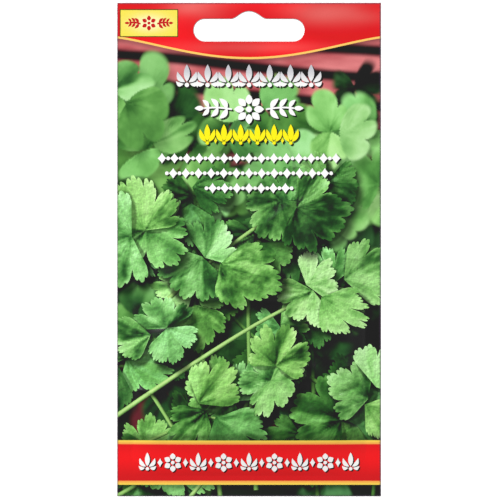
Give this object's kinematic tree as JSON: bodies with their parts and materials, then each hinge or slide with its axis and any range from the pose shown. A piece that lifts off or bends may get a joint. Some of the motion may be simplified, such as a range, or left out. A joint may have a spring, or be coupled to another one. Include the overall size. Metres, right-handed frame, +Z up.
{
  "type": "seed packet",
  "caption": "Flat sealed seed packet of two printed glossy sheets with a punched euro hang slot, holding coriander seeds.",
  "frame": {"origin": "top of the hang slot, midway between the two sheets, where a display peg carries the packet", "axes": "+Z up along the packet's height, -Y out of the printed front, +X to the right of the front as it is seen"},
  "size_m": [0.076, 0.0052, 0.142],
  "materials": {
    "front_print": "glossy laminated print",
    "back_print": "semi-gloss laminated print",
    "seed_husk": "matte dry husk"
  },
  "bodies": {
    "root": {"front_sheet": "front_print", "back_sheet": "back_print", "seed_01": "seed_husk", "seed_02": "seed_husk", "seed_03": "seed_husk", "seed_04": "seed_husk", "seed_05": "seed_husk", "seed_06": "seed_husk", "seed_07": "seed_husk", "seed_08": "seed_husk", "seed_09": "seed_husk", "seed_10": "seed_husk", "seed_11": "seed_husk", "seed_12": "seed_husk", "seed_13": "seed_husk", "seed_14": "seed_husk", "seed_15": "seed_husk", "seed_16": "seed_husk", "seed_17": "seed_husk", "seed_18": "seed_husk", "seed_19": "seed_husk", "seed_20": "seed_husk", "seed_21": "seed_husk", "seed_22": "seed_husk", "seed_23": "seed_husk", "seed_24": "seed_husk", "seed_25": "seed_husk", "seed_26": "seed_husk", "seed_27": "seed_husk", "seed_28": "seed_husk", "seed_29": "seed_husk", "seed_30": "seed_husk", "seed_31": "seed_husk", "seed_32": "seed_husk", "seed_33": "seed_husk", "seed_34": "seed_husk", "seed_35": "seed_husk", "seed_36": "seed_husk", "seed_37": "seed_husk", "seed_38": "seed_husk", "seed_39": "seed_husk", "seed_40": "seed_husk", "seed_41": "seed_husk", "seed_42": "seed_husk", "seed_43": "seed_husk", "seed_44": "seed_husk", "seed_45": "seed_husk", "seed_46": "seed_husk", "seed_47": "seed_husk", "seed_48": "seed_husk", "seed_49": "seed_husk", "seed_50": "seed_husk", "seed_51": "seed_husk", "seed_52": "seed_husk", "seed_53": "seed_husk", "seed_54": "seed_husk", "seed_55": "seed_husk", "seed_56": "seed_husk"}
  },
  "joints": []
}
